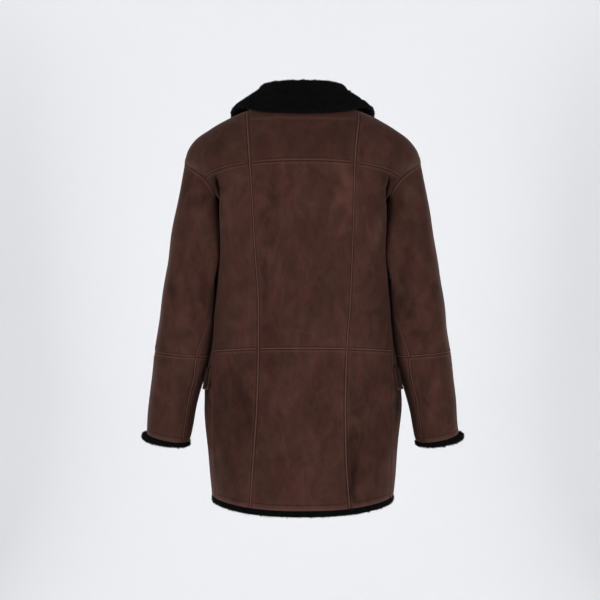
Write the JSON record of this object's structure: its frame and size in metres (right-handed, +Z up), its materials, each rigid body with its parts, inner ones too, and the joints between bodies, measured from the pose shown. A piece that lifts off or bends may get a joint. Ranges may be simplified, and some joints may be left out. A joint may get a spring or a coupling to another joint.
{
  "type": "shearling coat",
  "caption": "Hollow mid-thigh suede coat in worn form, fleece inside, with a rolled fleece collar, lapels, button front, pocket flaps and fleece edges at cuffs and hem.",
  "frame": {"origin": "midway between the shoulders, level with the shoulder line where the collar crosses it: where a wearer's shoulders and neck hold the coat", "axes": "+Z up, front of the coat towards -Y, wearer's left towards +X"},
  "size_m": [0.6866, 0.3014, 0.903],
  "materials": {
    "suede": "napped suede, matt, dark brown",
    "fleece": "short dense sheared wool, black",
    "button": "polished dark horn look"
  },
  "bodies": {
    "root": {"yoke_centre": "suede", "yoke_left": "suede", "yoke_right": "suede", "back_upper_centre": "suede", "back_upper_left": "suede", "back_upper_right": "suede", "back_lower_centre": "suede", "back_lower_left": "suede", "back_lower_right": "suede", "front_left": "suede", "front_right": "suede", "sleeve_top_upper_left": "suede", "sleeve_top_upper_right": "suede", "sleeve_top_lower_left": "suede", "sleeve_top_lower_right": "suede", "sleeve_under_upper_left": "suede", "sleeve_under_upper_right": "suede", "sleeve_under_lower_left": "suede", "sleeve_under_lower_right": "suede", "cuff_fleece_left": "fleece", "cuff_fleece_right": "fleece", "hem_fleece_back": "fleece", "hem_fleece_front_left": "fleece", "hem_fleece_front_right": "fleece", "collar": "fleece", "lapel_left": "fleece", "lapel_right": "fleece", "pocket_flap_left": "suede", "pocket_flap_right": "suede", "button_1": "button", "button_2": "button", "button_3": "button", "button_4": "button"}
  },
  "joints": []
}
